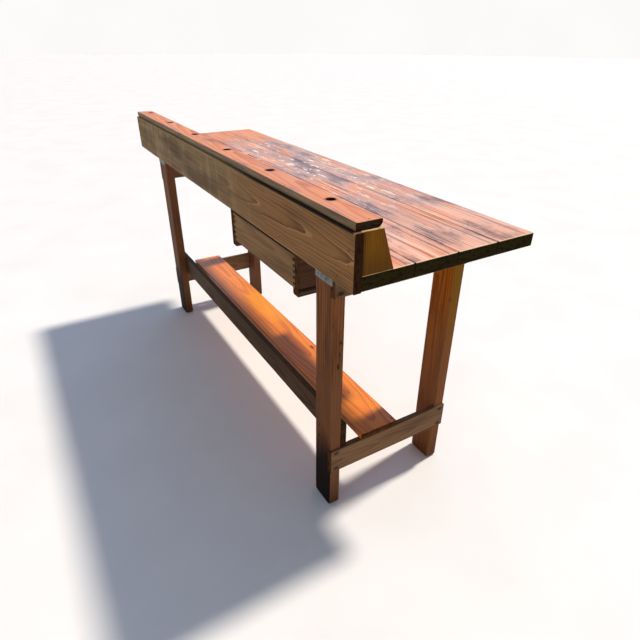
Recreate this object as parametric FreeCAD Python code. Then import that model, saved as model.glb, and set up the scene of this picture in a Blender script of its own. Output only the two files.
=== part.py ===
"""Free-standing woodworking bench with a drilled tool rail along its back and one hanging drawer.

Millimetres. X runs along the bench, Y from the tool rail towards the worker, Z is up.
The origin is on the floor, under the middle of the bench.
"""
import FreeCAD, Part
import math
import os

V = FreeCAD.Vector
X_AXIS = V(1, 0, 0)
Y_AXIS = V(0, 1, 0)
Z_AXIS = V(0, 0, 1)

# Working top
work_height = 890.0
bench_length = 1915.0
plank_thk = 38.0
plank_width = 138.2
back_plank_width = 156.0
front_planks = 3
plank_seam = 0.8
plank_ease = 2.0
top_setback = 4.0

# Back board, tool rail cap and the brackets under its ends
board_thk = 22.0
board_height = 143.0
board_ease = 1.5
cap_thk = 19.0
cap_width = 70.0
cap_step = 9.0
cap_setback = 12.0
cap_edge_ease = 2.0
cap_nose_radius = 14.0
tool_hole_d = 25.0
first_hole = 176.0
hole_pitch = 334.0
hole_end_margin = 40.0
hole_line = 46.0
bracket_thk = 38.0
bracket_foot = 92.0
bracket_head = 57.0
bracket_ease = 1.5

# Legs and end rails
leg_width = 89.0
leg_thk = 38.0
leg_ease = 2.5
foot_round = 9.0
near_overhang = 141.0
far_overhang = 172.0
back_leg_inset = 38.0
front_leg_inset = 96.0
rail_thk = 19.0
rail_height = 89.0
near_upper_rail_height = 82.0
far_upper_rail_height = 130.0
rail_proud = 6.0
rail_ease = 1.5
lower_rail_level = 152.0

# Stretcher and shelf, both lying on the lower rails
stretcher_thk = 19.0
stretcher_height = 89.0
shelf_thk = 19.0
shelf_width = 140.0
shelf_inset = 150.0
shelf_ease = 1.5

# Steel angle behind the top of each back leg
angle_end_gap = 1.5
angle_drop = 48.0
angle_reach = 34.0
angle_thk = 3.0
angle_bend = 3.0

# Drawer, its hangers and the runner feet that carry it
drawer_width = 458.0
drawer_length = 470.0
drawer_height = 104.0
drawer_wall = 14.0
drawer_drop = 41.0
drawer_offset = 354.0
drawer_inset = 41.0
finger_pitch = 9.5
finger_gap = 0.1
bottom_thk = 6.0
bottom_lift = 8.0
groove_depth = 6.0
groove_gap = 0.3
hanger_thk = 20.0
hanger_ease = 1.5
side_gap = 2.0
run_gap = 0.3
runner_height = 21.0
runner_reach = 14.0
runner_round = 7.0
face_thk = 19.0
face_head_gap = 10.0
face_ease = 3.0
close_gap = 0.5

# Turned wooden pull
knob_length = 28.0
knob_d = 36.0
knob_neck_d = 18.0
knob_neck_length = 8.0
knob_crown = 7.0
knob_crown_d = 26.0

# Square cut nails with their heads punched below the surface
nail_side = 3.4
nail_pit = 2.0
nail_hold = 42.0
nail_gap = 0.15
rail_nail_margin = 13.0
board_nail_count = 7
board_nail_end = 70.0
bracket_nail_low = 25.0
bracket_nail_high = 60.0
cap_nail_hold = 30.0
shelf_nail_edge = 25.0
runner_nail_end = 50.0
stretcher_nail_edge = 23.0
stretcher_nail_low = 17.0
stretcher_nail_high = 60.0
stretcher_nail_bite = 14.0

# Countersunk wood screws, and coach screws with hexagon heads for the steel angles
screw_d = 4.4
screw_head_d = 9.0
screw_head_thk = 4.0
screw_sink = 1.0
screw_gap = 0.15
coach_head_width = 8.0
coach_head_thk = 3.5
angle_screw_inset = 19.5
angle_screw_edge = 26.0
angle_screw_hold = 17.0
face_screw_inset = 60.0
face_screw_bite = 13.0
knob_screw_bite = 16.0

# Levels and lines that the pieces share
leg_top = work_height - plank_thk
board_top = leg_top + board_height
lower_rail_top = lower_rail_level + rail_height
upper_rail_levels = {"near": leg_top - near_upper_rail_height, "far": leg_top - far_upper_rail_height}
overall_length = bench_length + cap_setback
overall_depth = board_thk + back_plank_width + front_planks * (plank_seam + plank_width)
x_near = overall_length / 2
x_far = x_near - bench_length
y_rear = -overall_depth / 2
y_front = overall_depth / 2
y_board = y_rear + board_thk
y_back_leg = y_rear + back_leg_inset
y_front_leg = y_front - front_leg_inset - leg_thk
rail_y0 = y_back_leg
rail_y1 = y_front_leg + leg_thk
x_top_near = x_near - top_setback
x_top_far = x_top_near - bench_length
drawer_x1 = x_near - drawer_offset
drawer_x0 = drawer_x1 - drawer_width
drawer_y0 = y_rear + drawer_inset
drawer_y1 = drawer_y0 + drawer_length
drawer_z1 = leg_top - drawer_drop
drawer_z0 = drawer_z1 - drawer_height
runner_top = drawer_z0 - run_gap

nodes = {}
holes = {}
fasteners = {}


def box(x0, x1, y0, y1, z0, z1):
    """A plain block between two corners."""
    return Part.makeBox(x1 - x0, y1 - y0, z1 - z0, V(x0, y0, z0))


def board(x0, x1, y0, y1, z0, z1, grain, ease, worn_ends=False):
    """A dressed board: a block whose edges along the grain, or all edges, are planed off a little."""
    block = box(x0, x1, y0, y1, z0, z1)
    eased = []
    for edge in block.Edges:
        run = edge.Vertexes[1].Point - edge.Vertexes[0].Point
        if worn_ends or run.cross(grain).Length < 1e-6:
            eased.append(edge)
    return block.makeChamfer(ease, eased)


def outline(corners, place):
    """A closed face through (a, b, radius) corners; place turns (a, b) into a point in space."""
    pieces = []
    last = None
    first = None
    for index, (a, b, radius) in enumerate(corners):
        here = V(a, b, 0)
        before = V(*corners[index - 1][:2], 0) - here
        after = V(*corners[(index + 1) % len(corners)][:2], 0) - here
        half = before.getAngle(after) / 2
        before.normalize()
        after.normalize()
        enter = here + before * (radius / math.tan(half))
        leave = here + after * (radius / math.tan(half))
        middle = here + (before + after).normalize() * (radius / math.sin(half) - radius)
        if last is not None:
            pieces.append(Part.LineSegment(place(last), place(enter)).toShape())
        if radius > 0:
            pieces.append(Part.Arc(place(enter), place(middle), place(leave)).toShape())
        if first is None:
            first = enter
        last = leave
    pieces.append(Part.LineSegment(place(last), place(first)).toShape())
    return Part.Face(Part.Wire(pieces))


def turned(profile, point, direction):
    """A solid turned from (radius, distance) points about an axis that starts at point."""
    points = [V(radius, 0, distance) for radius, distance in profile]
    solid = Part.Face(Part.makePolygon(points + points[:1])).revolve(V(), Z_AXIS, 360)
    solid.Placement = FreeCAD.Placement(point, FreeCAD.Rotation(Z_AXIS, direction))
    return solid


def fasten(group, solid, hole, through):
    """Keep a fastener in its group and its hole for every piece that it goes through."""
    fasteners.setdefault(group, []).append(solid)
    for name in through:
        holes.setdefault(name, []).append(hole)


def square_bar(side, length, point, direction):
    """A square bar that starts at point, centred on the line of its direction."""
    bar = Part.makeBox(side, side, length, V(-side / 2, -side / 2, 0))
    bar.Placement = FreeCAD.Placement(point, FreeCAD.Rotation(Z_AXIS, direction))
    return bar


def drive_nail(group, through, point, direction, length):
    """A cut nail driven at point, with its head punched below the surface."""
    solid = square_bar(nail_side, length, point + direction * nail_pit, direction)
    hole = square_bar(nail_side + 2 * nail_gap, nail_pit + length, point, direction)
    fasten(group, solid, hole, through)


def drive_screw(group, through, point, direction, length):
    """A countersunk screw whose head lies a little below the surface at point."""
    head = screw_head_d / 2
    shank = screw_d / 2
    seat = point + direction * screw_sink
    solid = turned([(0, 0), (head, 0), (shank, screw_head_thk), (shank, length), (0, length)],
                   seat, direction)
    slim = shank + screw_gap
    wide = slim + (head - shank) * (screw_head_thk + screw_sink) / screw_head_thk
    hole = turned([(0, -screw_sink), (wide, -screw_sink), (slim, screw_head_thk), (slim, length),
                   (0, length)], seat, direction)
    fasten(group, solid, hole, through)


def drive_coach_screw(group, through, point, direction, length):
    """A coach screw whose hexagon head lies on the surface at point."""
    corner = coach_head_width / math.sqrt(3)
    turns = [math.radians(60 * side) for side in range(6)]
    rim = [V(corner * math.cos(turn), corner * math.sin(turn), 0) for turn in turns]
    head = Part.Face(Part.makePolygon(rim + rim[:1])).extrude(Z_AXIS * -coach_head_thk)
    solid = head.fuse(Part.makeCylinder(screw_d / 2, length))
    solid.Placement = FreeCAD.Placement(point, FreeCAD.Rotation(Z_AXIS, direction))
    hole = Part.makeCylinder(screw_d / 2 + screw_gap, length, point, direction)
    fasten(group, solid, hole, through)


# Planks of the working top, from the back board to the front edge
plank_names = []
plank_spans = []
plank_y = y_board
for index, width in enumerate([back_plank_width] + [plank_width] * front_planks):
    plank = board(x_top_far, x_top_near, plank_y, plank_y + width, leg_top, work_height, X_AXIS, plank_ease,
                  worn_ends=True)
    name = "top_plank_%d" % (index + 1)
    nodes[name] = plank
    plank_names.append(name)
    plank_spans.append((plank_y, plank_y + width))
    plank_y += width + plank_seam

# Back board on edge behind the top
nodes["back_board"] = board(x_far, x_near, y_rear, y_board, leg_top, board_top, X_AXIS, board_ease)
nail_step = (bench_length - 2 * board_nail_end) / (board_nail_count - 1)
for index in range(board_nail_count):
    start = V(x_near - board_nail_end - index * nail_step, y_rear, leg_top + plank_thk / 2)
    drive_nail("back_board_nails", ["back_board", plank_names[0]], start, Y_AXIS, board_thk + nail_hold)

# Tool rail cap, with a round nose under its inner edge and a row of holes for tools
cap_y0 = y_rear + cap_step
cap_y1 = cap_y0 + cap_width
cap_x1 = x_near - cap_setback
cap_x0 = cap_x1 - bench_length
cap_corners = [(cap_y0, board_top, cap_edge_ease), (cap_y1, board_top, cap_nose_radius),
               (cap_y1, board_top + cap_thk, cap_edge_ease), (cap_y0, board_top + cap_thk, cap_edge_ease)]
cap = outline(cap_corners, lambda p: V(cap_x0, p.x, p.y)).extrude(X_AXIS * bench_length)
hole_count = int((bench_length - first_hole - hole_end_margin) / hole_pitch) + 1
hole_xs = [cap_x1 - first_hole - index * hole_pitch for index in range(hole_count)]
tool_holes = [Part.makeCylinder(tool_hole_d / 2, cap_thk, V(x, cap_y0 + hole_line, board_top))
              for x in hole_xs]
nodes["tool_rail_cap"] = cap.cut(tool_holes)
cap_bearing_y = (cap_y0 + y_board) / 2
for x in hole_xs:
    start = V(x - hole_pitch / 2 if x > hole_xs[-1] else x, cap_bearing_y, board_top + cap_thk)
    drive_nail("cap_nails", ["tool_rail_cap", "back_board"], start, -Z_AXIS, cap_thk + cap_nail_hold)

# Sloped brackets that stand on the back plank under both ends of the cap
for side, bracket_x in (("near", x_top_near - bracket_thk), ("far", x_top_far)):
    corners = [(y_board, work_height, 0), (y_board + bracket_foot, work_height, 0),
               (y_board + bracket_head, board_top, 0), (y_board, board_top, 0)]
    wedge = outline(corners, lambda p: V(bracket_x, p.x, p.y)).extrude(X_AXIS * bracket_thk)
    slope = []
    for edge in wedge.Edges:
        middle = edge.CenterOfMass
        if middle.y > y_board + bracket_head and work_height < middle.z < board_top:
            slope.append(edge)
    name = "cap_bracket_" + side
    nodes[name] = wedge.makeChamfer(bracket_ease, slope)
    middle = bracket_x + bracket_thk / 2
    for rise in (bracket_nail_low, bracket_nail_high):
        start = V(middle, y_rear, work_height + rise)
        drive_nail("back_board_nails", ["back_board", name], start, Y_AXIS, board_thk + nail_hold)
    start = V(middle, y_board + bracket_head / 2, board_top + cap_thk)
    drive_nail("cap_nails", ["tool_rail_cap", name], start, -Z_AXIS, cap_thk + cap_nail_hold)


def shape_leg(x0, y0):
    """A leg of dressed timber, its foot rounded and its outline eased on both wide faces."""
    x1 = x0 + leg_width
    corners = [(x0, 0, foot_round), (x1, 0, foot_round), (x1, leg_top, 0), (x0, leg_top, 0)]
    leg = outline(corners, lambda p: V(p.x, y0, p.y)).extrude(Y_AXIS * leg_thk)
    rim = []
    for edge in leg.Edges:
        middle = edge.CenterOfMass
        on_wide_face = min(abs(middle.y - y0), abs(middle.y - y0 - leg_thk)) < 1e-6
        if on_wide_face and middle.z < leg_top - 1e-6:
            rim.append(edge)
    return leg.makeChamfer(leg_ease, rim)


# Two end frames: legs with the rails let into housings in their outer faces
legs = {"near": x_near - near_overhang - leg_width, "far": x_far + far_overhang}
rail_x = {}
for side, leg_x in legs.items():
    outward = 1 if side == "near" else -1
    leg_face = leg_x + leg_width if side == "near" else leg_x
    outer = leg_face + outward * rail_proud
    inner = outer - outward * rail_thk
    x0, x1 = min(outer, inner), max(outer, inner)
    rail_x[side] = (x0, x1)
    rail_spans = {"upper": (upper_rail_levels[side], leg_top), "lower": (lower_rail_level, lower_rail_top)}
    housings = []
    for place, (z0, z1) in rail_spans.items():
        nodes["%s_rail_%s" % (place, side)] = board(x0, x1, rail_y0, rail_y1, z0, z1, Y_AXIS, rail_ease)
        housings.append(box(x0, x1, rail_y0, rail_y1, z0, z1))
    for row, leg_y in (("back", y_back_leg), ("front", y_front_leg)):
        leg_name = "leg_%s_%s" % (side, row)
        nodes[leg_name] = shape_leg(leg_x, leg_y).cut(housings)
        for place, (z0, z1) in rail_spans.items():
            for z in (z0 + rail_nail_margin, z1 - rail_nail_margin):
                start = V(outer, leg_y + leg_thk / 2, z)
                through = ["%s_rail_%s" % (place, side), leg_name]
                drive_nail("rail_nails", through, start, X_AXIS * -outward, rail_thk + nail_hold)
    rail_middle = (x0 + x1) / 2
    for name, (y0, y1) in zip(plank_names, plank_spans):
        bearing0, bearing1 = max(y0, rail_y0), min(y1, rail_y1)
        for share in (0.25, 0.75):
            start = V(rail_middle, bearing0 + share * (bearing1 - bearing0), work_height)
            drive_nail("top_nails", [name, "upper_rail_" + side], start, -Z_AXIS, plank_thk + nail_hold)

# Back stretcher on edge, standing on the lower rails against the back legs
y_stretcher = y_back_leg + leg_thk
stretcher_x0 = legs["far"]
stretcher_x1 = legs["near"] + leg_width
nodes["back_stretcher"] = board(stretcher_x0, stretcher_x1, y_stretcher, y_stretcher + stretcher_thk,
                                lower_rail_top, lower_rail_top + stretcher_height, X_AXIS, shelf_ease)
for side, leg_x in legs.items():
    for rise in (stretcher_nail_low, stretcher_nail_high):
        start = V(leg_x + stretcher_nail_edge, y_back_leg, lower_rail_top + rise)
        drive_nail("stretcher_nails", ["leg_%s_back" % side, "back_stretcher"], start, Y_AXIS,
                   leg_thk + stretcher_nail_bite)

# Shelf board lying flat on the lower rails
shelf_y0 = y_rear + shelf_inset
shelf_y1 = shelf_y0 + shelf_width
nodes["shelf_board"] = board(rail_x["far"][0], rail_x["near"][1], shelf_y0, shelf_y1,
                             lower_rail_top, lower_rail_top + shelf_thk, X_AXIS, shelf_ease)
for side in legs:
    for y in (shelf_y0 + shelf_nail_edge, shelf_y1 - shelf_nail_edge):
        start = V(sum(rail_x[side]) / 2, y, lower_rail_top + shelf_thk)
        through = ["shelf_board", "lower_rail_" + side]
        drive_nail("shelf_nails", through, start, -Z_AXIS, shelf_thk + nail_hold)

# Steel angles: bent strip, one flange on the back leg and one under the back board
angle_screw_length = angle_thk + angle_screw_hold
for side, leg_x in legs.items():
    y_leg = y_back_leg
    skin = angle_bend + angle_thk
    flange_under = leg_top - angle_thk
    corners = [(y_leg, leg_top - angle_drop, 0), (y_leg, leg_top, skin), (y_leg - angle_reach, leg_top, 0),
               (y_leg - angle_reach, flange_under, 0), (y_leg - angle_thk, flange_under, angle_bend),
               (y_leg - angle_thk, leg_top - angle_drop, 0)]
    start_x = leg_x + angle_end_gap
    angle_length = leg_width - 2 * angle_end_gap
    name = "steel_angle_" + side
    nodes[name] = outline(corners, lambda p: V(start_x, p.x, p.y)).extrude(X_AXIS * angle_length)
    for x in (leg_x + angle_screw_inset, leg_x + leg_width - angle_screw_inset):
        start = V(x, y_leg - angle_thk, leg_top - angle_drop + angle_screw_edge)
        drive_coach_screw("angle_screws", [name, "leg_%s_back" % side], start, Y_AXIS, angle_screw_length)
    start = V(leg_x + leg_width / 2, (y_rear + y_board) / 2, flange_under)
    drive_coach_screw("angle_screws", [name, "back_board"], start, Z_AXIS, angle_screw_length)

# Drawer box: four walls with finger joints at the corners and a bottom held in grooves
wall_spans_x = ((drawer_x0, drawer_x0 + drawer_wall), (drawer_x1 - drawer_wall, drawer_x1))
wall_spans_y = ((drawer_y0, drawer_y0 + drawer_wall), (drawer_y1 - drawer_wall, drawer_y1))
finger_count = 2 * int(drawer_height / (2 * finger_pitch)) + 1
finger = drawer_height / finger_count
side_fingers = []
cross_fingers = []
for index in range(finger_count):
    low = drawer_z0 + index * finger
    for x0, x1 in wall_spans_x:
        for y0, y1 in wall_spans_y:
            seat = box(x0, x1, y0, y1, low - finger_gap, low + finger + finger_gap)
            (side_fingers if index % 2 else cross_fingers).append(seat)
inner_x0, inner_x1 = wall_spans_x[0][1], wall_spans_x[1][0]
inner_y0, inner_y1 = wall_spans_y[0][1], wall_spans_y[1][0]
bottom_z = drawer_z0 + bottom_lift
groove = box(inner_x0 - groove_depth, inner_x1 + groove_depth,
             inner_y0 - groove_depth, inner_y1 + groove_depth,
             bottom_z, bottom_z + bottom_thk + groove_gap)
for name, (x0, x1) in zip(("drawer_side_far", "drawer_side_near"), wall_spans_x):
    nodes[name] = box(x0, x1, drawer_y0, drawer_y1, drawer_z0, drawer_z1).cut(cross_fingers + [groove])
for name, (y0, y1) in zip(("drawer_back", "drawer_inner_front"), wall_spans_y):
    nodes[name] = box(drawer_x0, drawer_x1, y0, y1, drawer_z0, drawer_z1).cut(side_fingers + [groove])
reach = groove_depth - groove_gap
nodes["drawer_bottom"] = box(inner_x0 - reach, inner_x1 + reach, inner_y0 - reach, inner_y1 + reach,
                             bottom_z, bottom_z + bottom_thk)

# Hangers under the top, with runner feet that reach under the drawer sides
face_x0 = drawer_x0 - side_gap - hanger_thk
face_x1 = drawer_x1 + side_gap + hanger_thk
hanger_front = drawer_y1 - close_gap
runner_bottom = runner_top - runner_height
for side, x0, foot_x0 in (("far", face_x0, face_x0),
                          ("near", face_x1 - hanger_thk, drawer_x1 - runner_reach)):
    hanger = "drawer_hanger_" + side
    runner = "drawer_runner_" + side
    nodes[hanger] = board(x0, x0 + hanger_thk, drawer_y0, hanger_front, runner_top, leg_top,
                          Y_AXIS, hanger_ease)
    foot_x1 = foot_x0 + hanger_thk + side_gap + runner_reach
    corners = [(foot_x0, runner_bottom, runner_round), (foot_x1, runner_bottom, runner_round),
               (foot_x1, runner_top, 0), (foot_x0, runner_top, 0)]
    foot = outline(corners, lambda p: V(p.x, drawer_y0, p.y))
    nodes[runner] = foot.extrude(Y_AXIS * (hanger_front - drawer_y0))
    middle = x0 + hanger_thk / 2
    for name, (y0, y1) in zip(plank_names, plank_spans):
        y = (max(y0, drawer_y0) + min(y1, hanger_front)) / 2
        drive_nail("hanger_nails", [name, hanger], V(middle, y, work_height), -Z_AXIS, plank_thk + nail_hold)
    for y in (drawer_y0 + runner_nail_end, (drawer_y0 + hanger_front) / 2, hanger_front - runner_nail_end):
        drive_nail("runner_nails", [runner, hanger], V(middle, y, runner_bottom), Z_AXIS,
                   runner_height + nail_hold)

# Drawer face, which closes against the hangers' front ends
face_z1 = leg_top - face_head_gap
face_y1 = drawer_y1 + face_thk
face = box(face_x0, face_x1, drawer_y1, face_y1, runner_bottom, face_z1)
front_rim = [edge for edge in face.Edges if abs(edge.CenterOfMass.y - face_y1) < 1e-6]
nodes["drawer_face"] = face.makeChamfer(face_ease, front_rim)
for x in (drawer_x0 + face_screw_inset, drawer_x1 - face_screw_inset):
    drive_screw("drawer_face_screws", ["drawer_inner_front", "drawer_face"],
                V(x, inner_y1, (drawer_z0 + drawer_z1) / 2), Y_AXIS, drawer_wall + face_screw_bite)

# Turned pull in the middle of the face, held by a screw from inside the drawer
knob_at = V((face_x0 + face_x1) / 2, face_y1, (drawer_z0 + drawer_z1) / 2)
knob_r, neck_r, crown_r = knob_d / 2, knob_neck_d / 2, knob_crown_d / 2
knob_profile = [(0, 0), (neck_r, 0), (neck_r, knob_neck_length), (knob_r, knob_length - knob_crown),
                (crown_r, knob_length), (0, knob_length)]
nodes["drawer_knob"] = turned(knob_profile, knob_at, Y_AXIS)
drive_screw("knob_screw", ["drawer_inner_front", "drawer_face", "drawer_knob"],
            V(knob_at.x, inner_y1, knob_at.z), Y_AXIS, drawer_wall + face_thk + knob_screw_bite)

# Drill the fasteners' holes, gather each kind of fastener and write every piece
for name, tools in holes.items():
    nodes[name] = nodes[name].cut(tools)
for name, solids in fasteners.items():
    nodes[name] = Part.makeCompound(solids)

os.makedirs("parts", exist_ok=True)
for name, shape in nodes.items():
    shape.exportStep("parts/%s.step" % name)
    count = len(shape.Solids)
    print("%-22s %3d solid(s) %12.0f mm3  valid %s" % (name, count, shape.Volume, shape.isValid()))
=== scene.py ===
# %% [markdown]
# # An old woodworking bench
# The real bench is made of dressed softwood boards, most likely fir, nailed together and used for years.
# The boards are already there as a frame of exact solids. This lesson dresses them: a camera, a floor and
# soft light first, then a finish for every board, and last the small turned and forged pieces.

# %% Load the frame and read the boxes of its parts
import bpy
import math
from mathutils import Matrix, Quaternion, Vector


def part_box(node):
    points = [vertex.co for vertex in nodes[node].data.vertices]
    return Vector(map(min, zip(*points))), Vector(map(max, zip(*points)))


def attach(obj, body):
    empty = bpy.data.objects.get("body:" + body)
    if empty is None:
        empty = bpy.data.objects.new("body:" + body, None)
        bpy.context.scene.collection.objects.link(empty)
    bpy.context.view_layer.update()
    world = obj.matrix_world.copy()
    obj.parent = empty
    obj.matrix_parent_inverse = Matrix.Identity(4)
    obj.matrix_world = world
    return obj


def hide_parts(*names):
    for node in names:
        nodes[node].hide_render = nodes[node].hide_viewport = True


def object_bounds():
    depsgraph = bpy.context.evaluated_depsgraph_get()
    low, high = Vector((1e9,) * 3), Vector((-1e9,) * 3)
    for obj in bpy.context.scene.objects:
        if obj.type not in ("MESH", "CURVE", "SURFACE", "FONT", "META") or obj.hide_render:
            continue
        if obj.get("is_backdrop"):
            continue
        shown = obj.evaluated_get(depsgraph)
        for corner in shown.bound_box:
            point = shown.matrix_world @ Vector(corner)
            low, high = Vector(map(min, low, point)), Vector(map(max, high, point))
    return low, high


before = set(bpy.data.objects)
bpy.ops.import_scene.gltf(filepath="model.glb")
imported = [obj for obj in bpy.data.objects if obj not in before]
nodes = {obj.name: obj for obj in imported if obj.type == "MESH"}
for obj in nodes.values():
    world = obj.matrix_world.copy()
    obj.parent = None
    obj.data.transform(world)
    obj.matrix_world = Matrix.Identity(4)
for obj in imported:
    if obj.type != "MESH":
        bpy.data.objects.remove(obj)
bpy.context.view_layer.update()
bpy.ops.object.select_all(action="DESELECT")

# %% [markdown]
# ## The camera
# The photograph looks down along the bench from its near end, behind the tool rail. A camera can be placed
# by eye, but here its place was worked out from the bench's straight edges, so it is simply written down.

# %% Camera at the photograph's place
MM = 0.001
EYE = Vector((1782.4, -871.3, 1362.1)) * MM
AIM = Vector((442.2, -71.9, 464.9)) * MM
ROLL = math.radians(0.32)
LENS_MM = 28.23
SENSOR_MM = 36.0

bpy.ops.object.camera_add(location=EYE)
camera = bpy.context.object
camera.name = "photo_view"
camera.data.lens = LENS_MM
camera.data.sensor_width = SENSOR_MM
camera.rotation_mode = "QUATERNION"
camera.rotation_quaternion = (AIM - EYE).to_track_quat("-Z", "Y") @ Quaternion((0, 0, 1), ROLL)
bpy.context.scene.camera = camera
print("camera", round((AIM - EYE).length, 2), "m from the point it looks at")

# %% [markdown]
# ## Helpers for shaders
# A colour is given as an sRGB hex value, but a shader works with linear light, so one function turns
# the first into the second. A shader is a graph of nodes, and each needs its kind, its settings and what
# feeds its sockets. One function does that for every kind of node.

# %% Colour and node helpers
def linear(hex_colour):
    """An sRGB hex colour as linear red, green, blue and full alpha."""
    channels = [int(hex_colour[at:at + 2], 16) / 255 for at in (1, 3, 5)]
    light = [c / 12.92 if c <= 0.04045 else ((c + 0.055) / 1.055) ** 2.4 for c in channels]
    return (*light, 1.0)


def add(tree, kind, feeds=None, **settings):
    """Adds one node. feeds maps a socket's name or number to a value, a hex colour, a node or an output."""
    node = tree.nodes.new("ShaderNode" + kind)
    for name, value in settings.items():
        setattr(node, name, value)
    for key, value in (feeds or {}).items():
        named = [socket for socket in node.inputs if socket.enabled and socket.name == key]
        socket = node.inputs[key] if isinstance(key, int) else named[0]
        if isinstance(value, bpy.types.Node):
            value = next(output for output in value.outputs if output.enabled)
        if isinstance(value, bpy.types.NodeSocket):
            tree.links.new(value, socket)
        else:
            socket.default_value = linear(value) if isinstance(value, str) else value
    return node


print("helpers ready: linear #808080 is", round(linear("#808080")[0], 3))

# %% [markdown]
# ## Coats of a finish
# A finish is built up as in a workshop: a ground colour, then coats that lie only where sun, wear, dirt or
# paint has been. One helper lays such a coat, by a mask, or by a pattern and the two values between which
# the coat fades in.

# %% Helpers for materials
# A share that fades in and out without a hard start.
SOFT = {"interpolation_type": "SMOOTHSTEP"}


def new_material(name):
    """An empty node material and its tree."""
    material = bpy.data.materials.new(name)
    material.use_nodes = True
    material.node_tree.nodes.clear()
    return material, material.node_tree


def dress(piece, material):
    """Gives a whole piece one material."""
    piece.data.materials.clear()
    piece.data.materials.append(material)


def coat(tree, below, above, share, start=None, full=None, most=1.0, within=1.0):
    """Lays one colour over another by a share, or by a pattern that counts from start to full."""
    if start is not None:
        share = add(tree, "MapRange", {"Value": share, "From Min": start, "From Max": full, "To Max": most},
                    **SOFT)
    masked = add(tree, "Math", {0: share, 1: within}, operation="MULTIPLY")
    return add(tree, "Mix", {"Factor": masked, "A": below, "B": above}, data_type="RGBA")


print("coats fade by a soft step")

# %% [markdown]
# ## The floor
# A pale painted studio floor keeps the eye on the bench. A plane's far edge would show as a hard line, so a
# wide disc is used, thick enough to be a real slab. It lies a hair under the feet, so that no two faces
# fight for the same place.

# %% Floor slab
FLOOR_SIDES = 128
FLOOR_RADIUS = 40.0
FLOOR_THICKNESS = 0.05
FLOOR_DROP = 0.0005

bpy.ops.mesh.primitive_circle_add(vertices=FLOOR_SIDES, radius=FLOOR_RADIUS, fill_type="NGON",
                                  location=(0, 0, -FLOOR_DROP))
floor = bpy.context.object
floor.name = "floor"
bpy.ops.object.mode_set(mode="EDIT")
bpy.ops.mesh.select_all(action="SELECT")
bpy.ops.mesh.extrude_region_move(TRANSFORM_OT_translate={"value": (0, 0, -FLOOR_THICKNESS)})
bpy.ops.mesh.select_all(action="SELECT")
bpy.ops.mesh.normals_make_consistent(inside=False)
bpy.ops.object.mode_set(mode="OBJECT")
floor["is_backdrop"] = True
print("floor disc", FLOOR_RADIUS, "m in radius")

# %% Floor paint
MOTTLE_MM = 400.0

# Rolled matt paint gives an even, dull and pale ground with the faintest clouds in it.
floor_paint, tree = new_material("rolled_matt_floor_paint")
spot = add(tree, "TexCoord").outputs["Object"]
mottle = add(tree, "TexNoise", {"Vector": spot, "Scale": 1000.0 / MOTTLE_MM, "Detail": 4.0})
tone = coat(tree, "#E0E0DF", "#E5E5E4", mottle, 0.3, 0.7)
paint = add(tree, "BsdfPrincipled", {"Base Color": tone, "Roughness": 0.8, "IOR": 1.45})
add(tree, "OutputMaterial", {"Surface": paint})
dress(floor, floor_paint)
print("floor paint mottled every", MOTTLE_MM, "mm")

# %% [markdown]
# ## The backdrop
# In a studio a roll of white paper hangs behind the object. A wall would end somewhere when the camera
# walks round, so a wide dome is used. Only the camera sees it, and the light on the bench passes through
# it.

# %% Pale backdrop dome
BACKDROP_RADIUS = 38.0
BACKDROP_SEGMENTS = 48
PAPER_CLOUD_MM = 5000.0

bpy.ops.object.select_all(action="DESELECT")
bpy.ops.mesh.primitive_uv_sphere_add(segments=BACKDROP_SEGMENTS, ring_count=BACKDROP_SEGMENTS // 2,
                                     radius=BACKDROP_RADIUS)
backdrop = bpy.context.object
backdrop.name = "backdrop"
bpy.ops.object.shade_smooth()
for ray in ("diffuse", "glossy", "transmission", "volume_scatter", "shadow"):
    setattr(backdrop, "visible_" + ray, False)
backdrop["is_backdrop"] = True

# Evenly lit white paper gives a clean ground that is a trace warmer than pure white.
paper, tree = new_material("white_backdrop_paper")
spot = add(tree, "TexCoord").outputs["Object"]
cloud = add(tree, "TexNoise", {"Vector": spot, "Scale": 1000.0 / PAPER_CLOUD_MM, "Detail": 2.0})
tone = coat(tree, "#FAF9F7", "#FDFCFA", cloud, 0.3, 0.7)
glow = add(tree, "Emission", {"Color": tone, "Strength": 1.0})
add(tree, "OutputMaterial", {"Surface": glow})
dress(backdrop, paper)
print("backdrop dome", BACKDROP_RADIUS, "m in radius")

# %% [markdown]
# ## The lamps
# In the photograph the top is bright and the near side is in shade, so the main light stands high behind
# the bench. A sun lamp lights the whole bench alike, and its angle works like the width of a softbox: a few
# degrees give shade a soft edge. A weak, warm panel on the camera's side shows the grain of the shaded
# boards.

# %% Key light
TO_KEY = Vector((-0.05, 0.567, 0.82)).normalized()
KEY_DISTANCE = 5.0
KEY_STRENGTH = 3.8
KEY_SOFTNESS = math.radians(5.0)
KEY_COLOUR = "#FFF4E6"

bpy.ops.object.light_add(type="SUN", location=TO_KEY * KEY_DISTANCE)
key = bpy.context.object
key.name = "key_light"
key.data.energy = KEY_STRENGTH
key.data.angle = KEY_SOFTNESS
key.data.color = linear(KEY_COLOUR)[:3]
key.rotation_mode = "QUATERNION"
key.rotation_quaternion = (-TO_KEY).to_track_quat("-Z", "Y")
print(key.name, "stands", round(math.degrees(math.asin(TO_KEY.z))), "degrees high")

# %% Fill panel
FILL_PLACE = Vector((2.6, -2.4, 1.3))
FILL_AIM = Vector((0.3, 0, 0.5))
FILL_SIDE = 2.2
FILL_POWER = 3.0
FILL_COLOUR = "#FFE9CC"

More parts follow.
